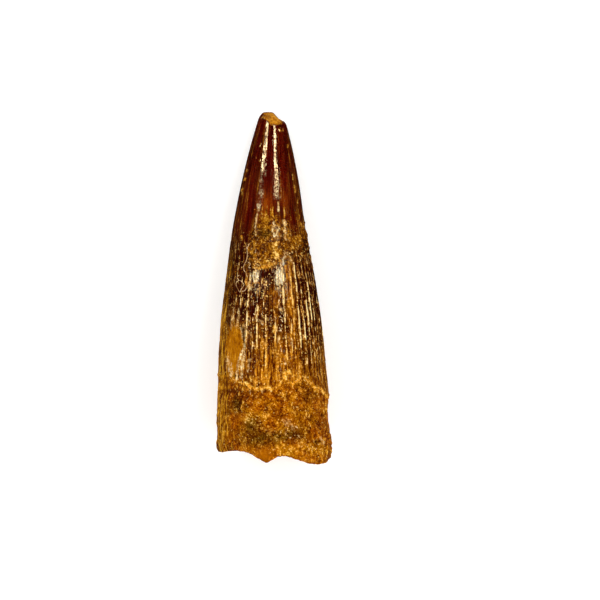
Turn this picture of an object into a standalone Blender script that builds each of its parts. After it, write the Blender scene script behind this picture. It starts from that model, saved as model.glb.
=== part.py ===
"""A fossil spinosaur tooth, 60 mm long, lying on its concave side with its tip along +Y.

The tooth is one solid. It is a UV sphere whose vertices are moved onto the tooth's surface: the rings round
one pole become the broken tip, the rings round the other pole become the broken root, and the rings between
them become the wall. A vertex is placed by its angle round the tooth and by its distance from the root's
lowest point. Angles are in degrees: 0 is the side that faces up, 90 the side that faces +X, 180 the side
that faces the ground.
"""

import math

import bmesh
import bpy
import numpy as np

MM = 0.001

# Driving dimensions, in millimetres
LENGTH = 60.0
FLUTE_COUNT = 32
FLUTE_HEIGHT = 0.24
FLUTE_FADE = 9.0  # distance over which the flutes fade out above the enamel's edge
TIP_FLUTE_SHARE = 0.25  # height of the flutes at the tip, as a share of their full height
ENAMEL_STEP = 0.16  # the enamel stands this far proud of the root
ENAMEL_LIP = 0.35  # length of the slope between them
TIP_DOME = 0.5  # how far the broken tip bulges
ROOT_DISH = 1.3  # how far the broken root is hollowed

# The outline seen from above, as (distance along the tooth, place across it)
LEFT_EDGE = [(0, -9.6), (5, -9.8), (16, -9.46), (24, -9.0), (32, -8.07), (40, -7.02), (48, -5.5), (54, -4.0),
             (60, -2.1)]
RIGHT_EDGE = [(0, 10.0), (4.5, 9.9), (8, 9.35), (11.3, 9.5), (15.5, 9.02), (24, 8.18), (32, 6.92), (40, 5.42),
              (48, 4.25), (54, 3.1), (60, 1.5)]
# Thickness from the ground up, as a share of the width
FLATNESS = [(0, 0.83), (20, 0.85), (40, 0.88), (60, 0.92)]
# Height of the underside, as (distance along the tooth, height). Below 0 it is worn flat, which leaves two
# small flats that the tooth rests on, one near each end.
UNDERSIDE = [(0, 0.05), (5.5, -0.22), (11, 0.15), (20, 0.85), (30, 1.2), (40, 0.95), (48, 0.4), (54.5, -0.2),
             (60, 0.1)]
# The enamel's edge, the broken root and the broken tip, as (angle, distance along the tooth)
ENAMEL_EDGE = [(-180, 14.6), (-130, 13.9), (-90, 15.2), (-60, 15.6), (-44, 14.5), (-26, 13.5), (-16, 12.85),
               (0, 12.8), (13, 14.7), (21, 13.9), (31, 14.7), (41, 14.5), (55, 13.2), (77, 12.3), (130, 13.6),
               (180, 14.6)]
ROOT_EDGE = [(-180, 2.7), (-140, 3.2), (-90, 3.2), (-72, 2.4), (-30, 2.35), (-20, 1.3), (-8, 0.4), (4, 1.3),
             (13, 1.45), (30, 0.5), (45, 0.1), (64, 0.3), (90, 2.1), (130, 3.0), (180, 2.7)]
TIP_EDGE = [(-180, 60.0), (-135, 59.8), (-90, 59.1), (-45, 58.3), (0, 58.0), (30, 58.1), (60, 58.35), (90, 58.55),
            (120, 58.75), (150, 59.2), (165, 59.65), (180, 60.0)]

# The net of the mesh: two columns to a flute, and the rings of each region from the tip down
COLUMNS = 2 * FLUTE_COUNT
TIP_RINGS = 3
CROWN_RINGS = 26
LIP_RINGS = 1
ROOT_RINGS = 8
DISH_RINGS = 4
RINGS = TIP_RINGS + CROWN_RINGS + LIP_RINGS + ROOT_RINGS + DISH_RINGS

FOSSIL_COLOUR = (0.17, 0.075, 0.016, 1.0)
FOSSIL_ROUGHNESS = 0.45


def smooth_through(stations):
    """A smooth curve through (place, value) pairs, as a function of arrays of places."""
    places, values = np.array(stations, float).T
    slopes = np.gradient(values, places)

    def curve(at):
        at = np.clip(at, places[0], places[-1])
        i = np.clip(np.searchsorted(places, at) - 1, 0, len(places) - 2)
        gap = places[i + 1] - places[i]
        s = (at - places[i]) / gap
        start = values[i] * (1 + 2 * s) + slopes[i] * gap * s
        end = values[i + 1] * (3 - 2 * s) + slopes[i + 1] * gap * (s - 1)
        return start * (1 - s) ** 2 + end * s**2

    return curve


left_edge, right_edge = smooth_through(LEFT_EDGE), smooth_through(RIGHT_EDGE)
flatness, underside = smooth_through(FLATNESS), smooth_through(UNDERSIDE)
enamel_edge, root_edge = smooth_through(ENAMEL_EDGE), smooth_through(ROOT_EDGE)
tip_edge = smooth_through(TIP_EDGE)


def smooth_step(x):
    """0 below 0, 1 above 1, and a smooth slope between them."""
    x = np.clip(x, 0, 1)
    return x * x * (3 - 2 * x)


def flute_height(column, angle, along):
    """How far the crown's surface stands out here: high on even columns, low on odd ones."""
    crest = np.where(column % 2 == 0, 1.0, 0.0)
    fade_in = smooth_step((along - enamel_edge(angle)) / FLUTE_FADE)
    towards_tip = 1 - (1 - TIP_FLUTE_SHARE) * smooth_step((along - LENGTH / 2) / (LENGTH / 2))
    return FLUTE_HEIGHT * crest * fade_in * towards_tip


def wall_point(column, angle, along):
    """The point of the wall at this angle and distance along the tooth, in millimetres."""
    left, right = left_edge(along), right_edge(along)
    width = right - left
    thickness = width * flatness(along)
    turn = np.radians(angle)
    across, up = np.sin(turn), np.cos(turn)
    enamel = ENAMEL_STEP * smooth_step((along - enamel_edge(angle)) / ENAMEL_LIP + 1)
    out = flute_height(column, angle, along) + enamel - ENAMEL_STEP
    slant = np.hypot(across / width, up / thickness)
    x = (left + right) / 2 + across * (width / 2 + out / width / slant)
    z = underside(along) + thickness / 2 + up * (thickness / 2 + out / thickness / slant)
    return np.stack([x, along, z], axis=-1)


def wall_distance(ring, angle):
    """How far along the tooth a ring of the wall lies at this angle."""
    marks = np.cumsum([TIP_RINGS, CROWN_RINGS, LIP_RINGS, ROOT_RINGS])
    edge = enamel_edge(angle)
    lines = [tip_edge(angle), edge, edge - ENAMEL_LIP, root_edge(angle)]
    along = lines[0]
    for k in range(3):
        share = np.clip((ring - marks[k]) / (marks[k + 1] - marks[k]), 0, 1)
        along = along + share * (lines[k + 1] - lines[k])
    return along


def cap_point(rim, centre, share, bulge):
    """A point of a broken end: share runs from 0 at the centre to 1 on the rim."""
    point = centre + (rim - centre) * share[:, None]
    point[:, 1] += bulge * (1 - share**2)
    return point


def tooth_points(column, ring):
    """Where the tooth's surface has the vertex of this column and ring, in millimetres."""
    angle = (column / COLUMNS * 360 + 180) % 360 - 180
    points = wall_point(column, angle, wall_distance(ring, angle))
    first, last = TIP_RINGS, RINGS - DISH_RINGS
    for end, share, bulge in (
        (first, ring / TIP_RINGS, TIP_DOME),
        (last, (RINGS - ring) / DISH_RINGS, ROOT_DISH),
    ):
        rim_angle = np.arange(COLUMNS) / COLUMNS * 360 - 180
        rim = wall_point(np.arange(COLUMNS), rim_angle, wall_distance(end, rim_angle))
        inside = share < 1
        points[inside] = cap_point(points[inside], rim.mean(axis=0), share[inside], bulge)
    points[:, 2] = np.maximum(points[:, 2], 0)
    return points


def fossil_material():
    """Brown fossil enamel and bone, as one even colour."""
    material = bpy.data.materials.new("fossil")
    material.use_nodes = True
    shader = material.node_tree.nodes["Principled BSDF"]
    shader.inputs["Base Color"].default_value = FOSSIL_COLOUR
    shader.inputs["Roughness"].default_value = FOSSIL_ROUGHNESS
    shader.inputs["Metallic"].default_value = 0.0
    return material


def make_tooth(collection):
    """The tooth, standing on z = 0 with its bounding box centred over the origin."""
    mesh = bpy.data.meshes.new("tooth")
    shape = bmesh.new()
    bmesh.ops.create_uvsphere(shape, u_segments=COLUMNS, v_segments=RINGS, radius=1)
    on_sphere = np.array([v.co for v in shape.verts])
    column = np.round(np.arctan2(on_sphere[:, 0], on_sphere[:, 1]) / math.tau * COLUMNS) % COLUMNS
    ring = np.round(np.arccos(np.clip(on_sphere[:, 2], -1, 1)) / math.pi * RINGS)
    points = tooth_points(column, ring) * MM
    middle = (points.min(axis=0) + points.max(axis=0)) / 2
    for vertex, point in zip(shape.verts, points - [middle[0], middle[1], 0]):
        vertex.co = point
    bmesh.ops.triangulate(shape, faces=shape.faces)
    bmesh.ops.recalc_face_normals(shape, faces=shape.faces)
    shape.to_mesh(mesh)
    shape.free()
    mesh.shade_smooth()
    mesh.set_sharp_from_angle(angle=math.radians(35))
    mesh.materials.append(fossil_material())
    tooth = bpy.data.objects.new("tooth", mesh)
    collection.objects.link(tooth)
    return tooth


def main():
    for leftover in list(bpy.data.objects):
        bpy.data.objects.remove(leftover)
    collection = bpy.data.collections.new("spinosaur_tooth")
    bpy.context.scene.collection.children.link(collection)
    make_tooth(collection)


main()
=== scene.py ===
"""The looks of a fossil spinosaur tooth, 60 mm long, lying on its concave side with its tip along +Y.

Its surface is a net of columns round the tooth and rings along it. A place on it is known by its angle round
the tooth, in degrees, and its distance from the root's lowest point, in millimetres. 0 degrees faces up, 90
faces +X and 180 the ground. On the upper side a place is also given as (across, along), seen from above.
Every mark is a function of these, so the same function shapes the surface and says where its colours go.
"""

import math

import bmesh
import bpy
import numpy as np
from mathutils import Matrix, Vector, noise


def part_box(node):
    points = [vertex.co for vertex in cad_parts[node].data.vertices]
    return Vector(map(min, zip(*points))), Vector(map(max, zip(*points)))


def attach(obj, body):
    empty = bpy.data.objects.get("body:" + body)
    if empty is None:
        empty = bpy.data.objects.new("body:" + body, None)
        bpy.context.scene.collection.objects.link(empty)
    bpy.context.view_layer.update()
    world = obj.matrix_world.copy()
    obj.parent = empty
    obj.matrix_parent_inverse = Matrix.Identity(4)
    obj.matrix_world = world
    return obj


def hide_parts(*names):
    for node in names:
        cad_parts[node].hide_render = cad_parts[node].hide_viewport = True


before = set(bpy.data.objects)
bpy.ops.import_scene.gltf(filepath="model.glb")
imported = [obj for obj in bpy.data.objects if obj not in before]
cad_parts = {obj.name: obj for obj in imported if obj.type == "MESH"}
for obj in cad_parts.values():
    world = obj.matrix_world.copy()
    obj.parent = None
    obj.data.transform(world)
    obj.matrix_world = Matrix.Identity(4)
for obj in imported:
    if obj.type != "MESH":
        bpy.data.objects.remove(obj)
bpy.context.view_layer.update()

MM = 0.001
LENGTH = 60.0
ROD_RADIUS = 9.0  # of the straight rod in which the fibres of the enamel are drawn

# The outline seen from above, as (distance along the tooth, place across it)
LEFT_EDGE = [(0, -9.7), (5, -9.8), (16, -9.46), (24, -9.0), (32, -8.07), (40, -7.02), (48, -5.5), (54, -4.05),
             (60, -2.3)]
RIGHT_EDGE = [(0, 10.1), (4.5, 9.95), (8, 9.4), (11.3, 9.5), (15.5, 9.02), (24, 8.18), (32, 6.97), (40, 5.47),
              (48, 4.35), (54, 3.2), (60, 1.7)]
# Thickness from the ground up, as a share of the width
FLATNESS = [(0, 0.83), (20, 0.85), (40, 0.88), (60, 0.92)]
# Height of the underside
UNDERSIDE = [(0, 0.05), (5.5, -0.22), (11, 0.15), (20, 0.85), (30, 1.2), (40, 0.95), (48, 0.4), (54.5, -0.2),
             (60, 0.1)]
# The enamel's edge, the broken root and the broken tip, as (angle, distance along the tooth)
ENAMEL_EDGE = [(-180, 14.6), (-130, 13.9), (-90, 15.2), (-60, 15.4), (-48, 14.8), (-36, 13.9), (-26, 13.3),
               (-18, 12.8), (-8, 13.0), (-1, 12.7), (5, 13.2), (12, 14.2), (22, 13.6), (31, 14.5), (40, 14.2),
               (50, 13.1), (60, 12.8), (70, 11.9), (78, 11.4), (95, 11.8), (130, 13.6), (180, 14.6)]
ROOT_EDGE = [(-180, 2.7), (-140, 2.9), (-90, 2.25), (-75, 2.1), (-37, 2.3), (-27, 2.0), (-14, 0.8), (-8, 0.4),
             (-2, 0.9), (4, 1.4), (10, 1.5), (22, 1.0), (36, 0.3), (50, 0.1), (60, 0.2), (72, 0.5), (82, 1.0),
             (90, 1.6), (130, 3.0), (180, 2.7)]
TIP_EDGE = [(-180, 60.2), (-150, 60.2), (-120, 60.1), (-90, 59.8), (-60, 59.8), (-40, 59.5), (-20, 58.9),
            (0, 58.3), (20, 58.15), (40, 58.2), (60, 58.4), (90, 58.5), (120, 58.55), (136, 58.6),
            (145, 59.0), (156, 59.45), (167, 59.9), (180, 60.2)]

# The crests that face the viewer: the angle of each, and its strength as (distance along the tooth, strength)
SEEN_CRESTS = [
    (-38.8, [(23.5, 0), (25, 0.4), (28, 0.7), (31, 0.2), (32, 0)]),
    (-28.6, [(19, 0), (21, 0.6), (22.5, 1), (29, 1), (31, 0.4), (33, 0.1)]),
    (-21.5, [(26.5, 0), (28, 0.5), (32, 0.5)]),
    (-15.8, [(17, 0.2), (19, 0.3), (20, 0.8), (26, 0.7), (28, 0.3), (31, 0.2)]),
    (-6.0, [(13.5, 0.5), (17.5, 0.7), (20, 0.9), (22, 0.9), (23, 0.6), (27, 0.5), (31, 0.1)]),
    (-2.2, [(20.8, 0), (21.4, 0.8), (22.2, 0.8), (22.7, 0)]),
    (0.5, [(23.7, 0), (24.2, 0.8), (25, 0.8), (25.5, 0)]),
    (4.8, [(14.5, 0.6), (16.5, 0.8), (18.5, 0.3), (21, 0.4), (22, 1), (23.8, 1), (25, 0.4), (31, 0.2)]),
    (9.2, [(20.2, 0), (20.8, 0.9), (21.8, 0.9), (22.4, 0)]),
    (16.8, [(16, 0.3), (18, 0.7), (24, 0.8), (26, 1), (29.5, 0.9), (32, 0.5)]),
    (23.8, [(18.5, 0.3), (20, 0.7), (22, 0.4), (22.8, 1), (23.8, 1), (24.5, 0)]),
    (27.2, [(17.5, 0.3), (20.5, 0.7), (28, 0.8), (32, 0.6)]),
    (34.2, [(16, 0.3), (18, 0.6), (20.5, 0.6), (22, 0.9), (24.4, 0.9), (28, 0.7), (33, 0.9)]),
    (41.0, [(16, 0.4), (18, 0.7), (20, 0.6), (21.8, 1), (23.5, 1), (26, 0.5), (33, 0.5)]),
    (47.8, [(15, 0.5), (17, 0.8), (20, 0.5), (23, 0.8), (27, 0.8), (31, 0.3)]),
    (54.6, [(16, 0.3), (18, 0.7), (22, 0.6), (25, 0.9), (31, 0.9), (33, 0.5)]),
    (60.6, [(17, 0.2), (19.5, 0.8), (21, 0.8), (24, 0.4), (26, 0.9), (33, 0.7)]),
    (66.0, [(17, 0), (18.5, 0.8), (22, 0.6), (26, 0.4), (31, 0.8)]),
    (76.0, [(15, 0.6), (36, 0.6)]),
]
CREST_SPACING = 10.6  # degrees, round the back
CREST_HEIGHT, CREST_WIDTH = 0.18, 0.12
SWELL_HEIGHT, SWELL_WIDTH = 0.09, 0.4
GROOVE_DEPTH, GROOVE_WIDTH, GROOVE_OFFSET = 0.06, 0.13, 0.36
LINES, LINE_HEIGHT, LINE_WIDTH = 70, 0.08, 0.1

ENAMEL_STEP = 0.16
ENAMEL_LIP = 0.3
TIP_DOME = 0.3
ROOT_DISH = 1.3

# The flaked patch's two sides, as (distance along the tooth, place across it)
FLAKE_LEFT = [(15.1, -6.7), (16.5, -7.3), (18.0, -7.95), (21.0, -8.0), (23.0, -7.7), (24.6, -7.1)]
FLAKE_RIGHT = [(15.1, -6.65), (16.5, -6.1), (19.3, -5.4), (21.0, -5.35), (23.0, -5.6), (24.6, -6.1)]
FLAKE_DEPTH = 0.14

# Ovals on the upper side, as (across, along, radius across, radius along, strength)
# Gloss spots make the coat glossy there, and also lighten the pale strokes over them as painted highlight
GLOSS_SPOTS = [(-2.9, 32.2, 0.9, 1.7, 1.2), (1.3, 32.0, 1.6, 2.0, 1.3), (1.8, 34.4, 1.0, 1.0, 0.9),
               (0.5, 39.6, 0.8, 1.3, 0.5), (-2.2, 46.2, 0.45, 0.6, 1.0), (-2.15, 48.5, 0.3, 0.35, 1.0),
               (-2.5, 44.1, 0.5, 0.7, 0.7), (-2.3, 29.8, 0.8, 0.8, 0.6), (2.6, 30.0, 0.6, 1.2, 0.6)]
GLOSS_GAPS = [(-1.5, 53.1, 0.6, 0.12, 0.7), (0.2, 56.7, 0.5, 0.14, 0.8), (0.25, 55.6, 0.5, 0.12, 0.7),
              (0.3, 54.6, 0.5, 0.12, 0.7), (0.35, 53.2, 0.5, 0.15, 0.8), (0.35, 52.6, 0.6, 0.35, 0.5),
              (-1.25, 57.3, 0.3, 0.1, 0.5), (-1.3, 55.8, 0.5, 0.15, 0.9), (-1.65, 53.35, 0.5, 0.25, 0.7),
              (-1.65, 51.4, 0.13, 1.0, 0.9)]
WARM_GLOWS = [(-1.0, 44.4, 1.0, 2.0, 1.0), (2.2, 45.2, 0.7, 1.4, 0.6), (-1.0, 41.6, 1.6, 1.2, 0.6)]
# Golden film. The two patches on the left highlight streak paint its golden sheen.
FILM_AND_SHEEN_PATCHES = [(-2.2, 47.2, 0.55, 2.2, 1.1), (-2.0, 43.0, 0.8, 1.5, 0.6), (2.9, 44.5, 0.8, 2.5, 0.5)]
CRUST_LUMPS = [(-4.3, 30.6, 0.45, 0.7, 1.0), (5.9, 38.2, 0.5, 1.1, 0.8)]
CRUST_GAPS = [(3.6, 40.4, 1.1, 1.5, 0.9), (2.5, 36.2, 1.1, 0.3, 0.8), (-4.2, 33.9, 0.9, 0.8, 0.5)]
# The first two ovals, bright, lie where the right highlight streak crosses the crust, and are painted
# highlight
CRUST_SHADES = [(0.5, 37.5, 0.8, 1.5, 0.75), (0.6, 35.5, 0.7, 1.0, 0.7), (-1.8, 34.3, 1.4, 0.6, 0.5),
                (-4.0, 36.9, 0.8, 1.3, 0.1), (-1.8, 37.2, 1.4, 1.1, -0.5), (3.1, 36.9, 1.4, 0.6, 0.35),
                (2.5, 36.1, 1.2, 0.35, -0.8), (-4.1, 33.9, 1.0, 1.0, -0.5), (-1.5, 39.4, 1.3, 0.7, -0.6),
                (-0.6, 41.0, 1.2, 0.4, -0.4), (6.0, 35.8, 1.5, 1.6, -0.45), (2.9, 35.2, 0.4, 1.2, 0.4)]
ROOT_SHADES = [(-6.2, 10.5, 1.5, 2.0, -0.9), (-7.0, 12.6, 1.4, 0.5, -0.6), (5.9, 12.3, 1.4, 1.2, -0.5),
               (8.1, 10.1, 1.0, 1.2, 0.15), (-1.6, 8.3, 1.0, 0.5, 0.6), (-3.6, 6.9, 1.4, 1.2, -0.35),
               (-2.6, 4.6, 2.8, 1.4, -0.3), (3.5, 5.1, 1.7, 1.1, -0.4), (7.6, 6.9, 1.7, 1.5, -0.4),
               (4.5, 2.2, 3.6, 1.4, 0.35), (1.3, 2.8, 0.9, 0.9, 0.5), (-7.4, 3.3, 2.2, 1.0, -0.35)]
OLIVE_STAINS = [(-2.6, 4.6, 2.8, 1.4, 0.9), (-3.6, 6.9, 1.4, 1.2, 0.8), (3.4, 5.2, 1.8, 1.1, 0.9),
                (0.5, 4.6, 1.6, 0.8, 0.6), (5.8, 11.4, 1.4, 1.0, 0.4),
                (-6.1, 10.2, 1.0, 1.6, 0.8), (-1.5, 39.4, 1.2, 0.7, 0.8), (-4.2, 33.8, 1.0, 1.0, 0.8)]
PITS = [(7.5, 3.9, 0.32, 0.32, 1.0), (-6.6, 15.15, 0.22, 0.3, 1.0), (1.3, 57.8, 0.35, 0.25, 0.9),
        (-5.15, 23.0, 0.16, 0.25, 1.0), (-5.3, 22.0, 0.15, 0.2, 0.9), (-4.95, 22.4, 0.15, 0.15, 0.8),
        (8.6, 8.4, 0.25, 0.25, 0.7), (-0.1, 18.6, 0.2, 0.2, 0.8), (-2.2, 11.5, 0.2, 0.2, 0.6)]
SMOOTH_BULGE = [(-1.6, 1.5, 1.6, 1.3, 1.0)]

# Strokes on the upper side, each as (half width, strength, and the places (across, along) along its line)
# Some strokes are pale splinters and specks of the surface. Those along the two highlight streaks, over the
# crust and in the glints below it are painted highlights.
SPLINTERS_AND_GLINTS = [
    (0.15, 0.8, (-4.5, 21.9), (-4.8, 21.1), (-4.9, 20.2), (-5.0, 19.3)),
    (0.19, 1.0, (-5.3, 19.4), (-5.6, 18.7), (-5.9, 17.6), (-6.05, 16.4), (-6.15, 15.4), (-6.3, 14.6)),
    (0.20, 0.8, (-4.9, 18.8), (-5.1, 18.0), (-5.25, 17.0), (-5.4, 15.9), (-5.45, 14.9)),
    (0.16, 0.7, (-7.9, 18.3), (-7.75, 17.6), (-7.6, 16.8), (-7.3, 15.9), (-7.1, 15.1)),
    (0.12, 0.5, (-8.1, 17.6), (-7.9, 16.6), (-7.6, 15.8)),
    (0.10, 0.6, (-7.3, 17.5), (-7.15, 16.4), (-7.05, 15.4)),
    (0.15, 0.9, (-5.9, 26.6), (-6.0, 25.1), (-6.2, 24.3), (-6.3, 23.6)),
    (0.12, 0.7, (-7.1, 25.3), (-7.2, 23.8), (-7.35, 23.1)),
    (0.14, 0.6, (-6.7, 26.8), (-6.9, 25.3), (-7.0, 24.6)),
    (0.11, 0.7, (-5.45, 23.4), (-5.45, 22.4), (-5.3, 21.6)),
    (0.11, 0.8, (-5.1, 23.9), (-4.8, 23.6), (-4.7, 22.8), (-5.0, 22.3)),
    (0.14, 0.6, (-4.8, 22.1), (-4.7, 21.2)), (0.12, 0.7, (-4.4, 17.8), (-3.85, 17.8)),
    (0.15, 0.5, (-4.25, 17.5), (-4.35, 15.8)),
    (0.12, 0.9, (1.1, 40.1), (0.6, 40.7), (0.1, 40.7), (-0.25, 40.5), (-0.1, 39.5), (0.25, 38.9)),
    (0.11, 0.8, (0.8, 40.0), (0.4, 39.3), (0.6, 38.8), (1.3, 38.9)), (0.20, 0.9, (1.8, 41.5), (1.95, 40.8)),
    (0.22, 0.9, (1.95, 40.0), (2.0, 39.6)), (0.15, 0.8, (1.95, 38.9), (2.1, 38.4)),
    (0.15, 0.9, (0.1, 41.3), (0.1, 41.1)), (0.14, 0.6, (1.95, 35.5), (1.6, 34.9), (1.7, 34.2)),
    (0.24, 1.0, (-4.6, 31.1), (-4.2, 30.6), (-3.95, 30.0)), (0.20, 1.0, (8.6, 3.9), (8.5, 3.7)),
    (0.12, 0.9, (0.8, 44.7), (0.85, 43.2)), (0.11, 0.7, (-2.8, 42.6), (-2.9, 41.4), (-3.05, 40.4)),
    (0.11, 0.7, (-3.1, 40.0), (-3.0, 39.0)), (0.13, 0.5, (-2.7, 44.3), (-2.45, 43.8), (-2.55, 43.1)),
    (0.14, 0.9, (8.2, 4.6), (8.3, 4.3)), (0.11, 0.35, (1.6, 7.7), (2.3, 7.3), (2.8, 6.9)),
    (0.11, 0.35, (2.2, 7.9), (2.9, 7.3), (3.5, 6.5)), (0.10, 0.3, (2.0, 6.9), (3.0, 6.4), (3.6, 6.0)),
    (0.11, 1.0, (2.1, 5.3), (2.15, 5.1)), (0.11, 0.9, (2.8, 4.7), (3.0, 4.7)),
    (0.10, 1.0, (4.3, 4.9), (4.4, 4.8)), (0.10, 0.9, (3.9, 6.5), (4.05, 6.35)),
    (0.11, 0.8, (-1.9, 13.1), (-1.95, 12.3)), (0.12, 0.8, (0.55, 32.9), (0.45, 31.6), (0.6, 30.9)),
    (0.11, 0.7, (0.95, 33.1), (1.0, 31.9), (0.95, 30.5)),
    (0.12, 0.8, (1.35, 32.9), (1.35, 31.5), (1.45, 30.6)), (0.10, 0.7, (1.75, 32.3), (1.8, 31.2)),
    (0.12, 0.8, (-3.45, 32.8), (-3.4, 31.7), (-3.3, 31.2)), (0.12, 0.7, (-3.05, 32.9), (-2.95, 31.3)),
    (0.11, 0.8, (-2.65, 32.6), (-2.55, 31.6)), (0.11, 0.6, (-3.9, 32.5), (-3.9, 31.4)),
    (0.13, 0.6, (1.9, 36.1), (2.4, 35.9), (2.85, 35.4), (2.95, 34.8)),
    (0.14, 0.8, (-2.35, 24.5), (-1.8, 24.1)), (0.15, 0.8, (1.0, 26.6), (1.5, 26.1)),
    (0.10, 1.0, (3.05, 23.9), (3.1, 22.9)), (0.10, 0.9, (3.15, 21.3), (3.3, 20.1)),
    (0.14, 0.9, (2.05, 17.7), (2.1, 17.3)), (0.12, 0.8, (0.85, 21.6), (0.95, 20.7)),
    (0.10, 0.8, (-4.05, 12.5), (-4.05, 12.1)),
]
GOLDEN_EDGES = [
    (0.12, 0.8, (-7.1, 14.9), (-6.4, 14.3), (-5.7, 14.0), (-4.9, 13.7)),
    (0.24, 1.0, (-4.7, 14.0), (-4.2, 13.6), (-3.7, 13.1), (-2.8, 12.9), (-2.0, 13.0)),
    (0.22, 0.9, (-2.0, 13.0), (-1.3, 13.3), (-0.6, 13.2), (-0.25, 12.9)),
    (0.17, 0.9, (0.25, 13.0), (0.6, 13.5), (1.1, 13.8), (1.45, 14.4)),
    (0.14, 0.7, (0.6, 16.4), (0.6, 15.4), (0.7, 14.4)), (0.34, 1.0, (1.95, 15.6), (2.0, 14.6)),
    (0.20, 1.0, (2.2, 15.7), (2.5, 16.1), (2.7, 16.1), (2.9, 15.5)),
    (0.19, 1.0, (2.7, 14.1), (3.4, 13.7), (3.85, 14.2), (4.35, 14.6), (4.7, 14.9), (4.5, 15.4)),
    (0.12, 0.7, (-1.9, 14.6), (-1.6, 14.9), (-1.2, 14.7)), (0.12, 0.7, (-3.9, 15.0), (-3.6, 14.6)),
    (0.12, 0.8, (3.3, 15.1), (3.6, 15.4)), (0.14, 0.7, (-0.9, 14.4), (-0.9, 13.7)),
    (0.10, 0.7, (3.85, 15.8), (4.1, 15.1), (4.5, 14.7)), (0.18, 0.6, (4.9, 15.1), (5.4, 14.9), (5.4, 14.4)),
    (0.17, 1.0, (5.7, 14.4), (6.2, 14.1), (6.7, 13.6), (7.15, 13.2), (7.15, 12.7)),
    (0.15, 1.0, (7.6, 13.2), (8.1, 13.0), (8.5, 12.5), (8.95, 11.9), (9.3, 11.3)),
    (0.12, 0.8, (-6.5, 13.0), (-6.3, 13.6)), (0.10, 0.9, (-5.9, 12.3), (-5.95, 11.9)),
    (0.11, 0.9, (-5.45, 10.1), (-5.4, 9.7), (-5.6, 9.5)), (0.10, 0.8, (-6.5, 9.6), (-6.3, 9.3)),
    (0.12, 0.7, (-4.8, 7.9), (-4.6, 7.4)), (0.12, 0.8, (-5.7, 13.2), (-5.2, 12.8)),
    (0.12, 0.8, (-3.25, 14.2), (-2.4, 14.2)), (0.16, 0.6, (-1.25, 21.5), (-1.2, 19.0), (-1.15, 14.2)),
    (0.20, 0.8, (0.15, 23.6), (0.15, 22.4)), (0.10, 0.6, (0.4, 21.6), (0.45, 18.5), (0.55, 15.6)),
    (0.10, 0.9, (-5.1, 10.9), (-5.2, 10.4)), (0.14, 0.8, (2.1, 11.5), (2.1, 11.1)),
    (0.14, 0.6, (-1.6, 8.9), (-0.6, 8.4)), (0.16, 0.7, (1.3, 4.0), (1.7, 3.6)),
    (0.14, 0.5, (-0.9, 6.6), (-0.3, 6.0)), (0.12, 0.7, (3.5, 9.0), (3.9, 8.7)),
    (0.11, 0.6, (5.75, 8.7), (5.4, 8.0)),
    (0.16, 1.0, (-3.25, 33.5), (-2.6, 33.4), (-1.95, 33.5), (-1.3, 33.7)),
    (0.20, 0.5, (-1.3, 33.7), (-0.4, 34.1), (0.4, 34.2)),
    (0.15, 0.7, (-4.5, 31.6), (-4.75, 31.2), (-4.6, 30.6)), (0.15, 0.6, (1.1, 57.2), (1.2, 57.0)),
    (0.12, 0.5, (1.6, 57.1), (1.65, 57.0)), (0.12, 0.6, (-1.8, 59.4), (-1.4, 59.2)),
    (0.09, 0.6, (-1.9, 43.9), (-1.9, 42.0)), (0.10, 0.7, (-0.1, 43.7), (-0.2, 43.0), (0.05, 42.0)),
    (0.10, 0.6, (1.8, 43.9), (1.95, 42.2)), (0.12, 0.8, (-4.85, 48.7), (-4.9, 48.4)),
    (0.12, 0.8, (-5.2, 47.1), (-5.35, 46.8)), (0.10, 0.6, (-5.3, 46.3), (-5.35, 46.1)),
    (0.10, 0.5, (-4.5, 50.3), (-4.5, 49.9)), (0.12, 0.7, (2.45, 54.5), (2.35, 54.2)),
    (0.10, 0.5, (3.2, 49.4), (3.3, 48.7)), (0.10, 0.6, (3.6, 47.4), (3.75, 46.6)),
    (0.10, 0.5, (4.05, 45.3), (4.15, 44.6)), (0.07, 0.5, (-2.2, 54.8), (-2.25, 54.4)),
    (0.07, 0.5, (-2.25, 51.9), (-2.3, 51.6)), (0.10, 0.6, (4.4, 42.4), (4.4, 42.1)),
    (0.12, 0.5, (4.6, 41.2), (4.55, 40.8)), (0.10, 0.5, (-5.35, 38.9), (-5.4, 38.4)),
]

# Routes of the rootlets on the upper side, as places (across, along)
ROOTLETS = [
    [(-4.7, 37.6), (-4.5, 36.6), (-4.45, 35.5), (-4.65, 34.7), (-5.05, 33.8), (-5, 33.1), (-4.6, 32.5),
     (-4.5, 32)],
    [(-4.1, 37.7), (-4.35, 37.1), (-4.5, 36.6)],
    [(-5.8, 32.3), (-6.15, 31.95), (-5.95, 31.4), (-6.4, 30.85), (-6.2, 30.25), (-5.8, 29.4)],
    [(-5.95, 31.4), (-5.55, 31.3), (-5.05, 30.75), (-5.2, 30.25), (-5.55, 29.75), (-5.75, 29.3)],
    [(-5.45, 29.55), (-5.05, 29.55), (-4.7, 29.9), (-4.5, 30.4)],
    [(-4.35, 34.5), (-3.9, 34.2), (-4.2, 33.6), (-3.85, 33.5)],
]
ROOTLET_RADIUS = 0.055
ROOTLET_STEP = 0.16

GRAIN_TRIES = 60000  # places looked at, of which few get a grain
SMALLEST_GRAIN, USUAL_GRAIN, LARGEST_GRAIN = 0.08, 0.15, 0.3

# The net of the tooth's mesh
COLUMNS = 352
CROWDING = 17.2  # degrees by which the columns are drawn towards the upper side
CROWN_RINGS, NECK_RINGS = 64, 196
NECK = 44.0  # below this distance the rings lie closer
DISH_RINGS, TIP_RINGS = 17, 6


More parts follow.
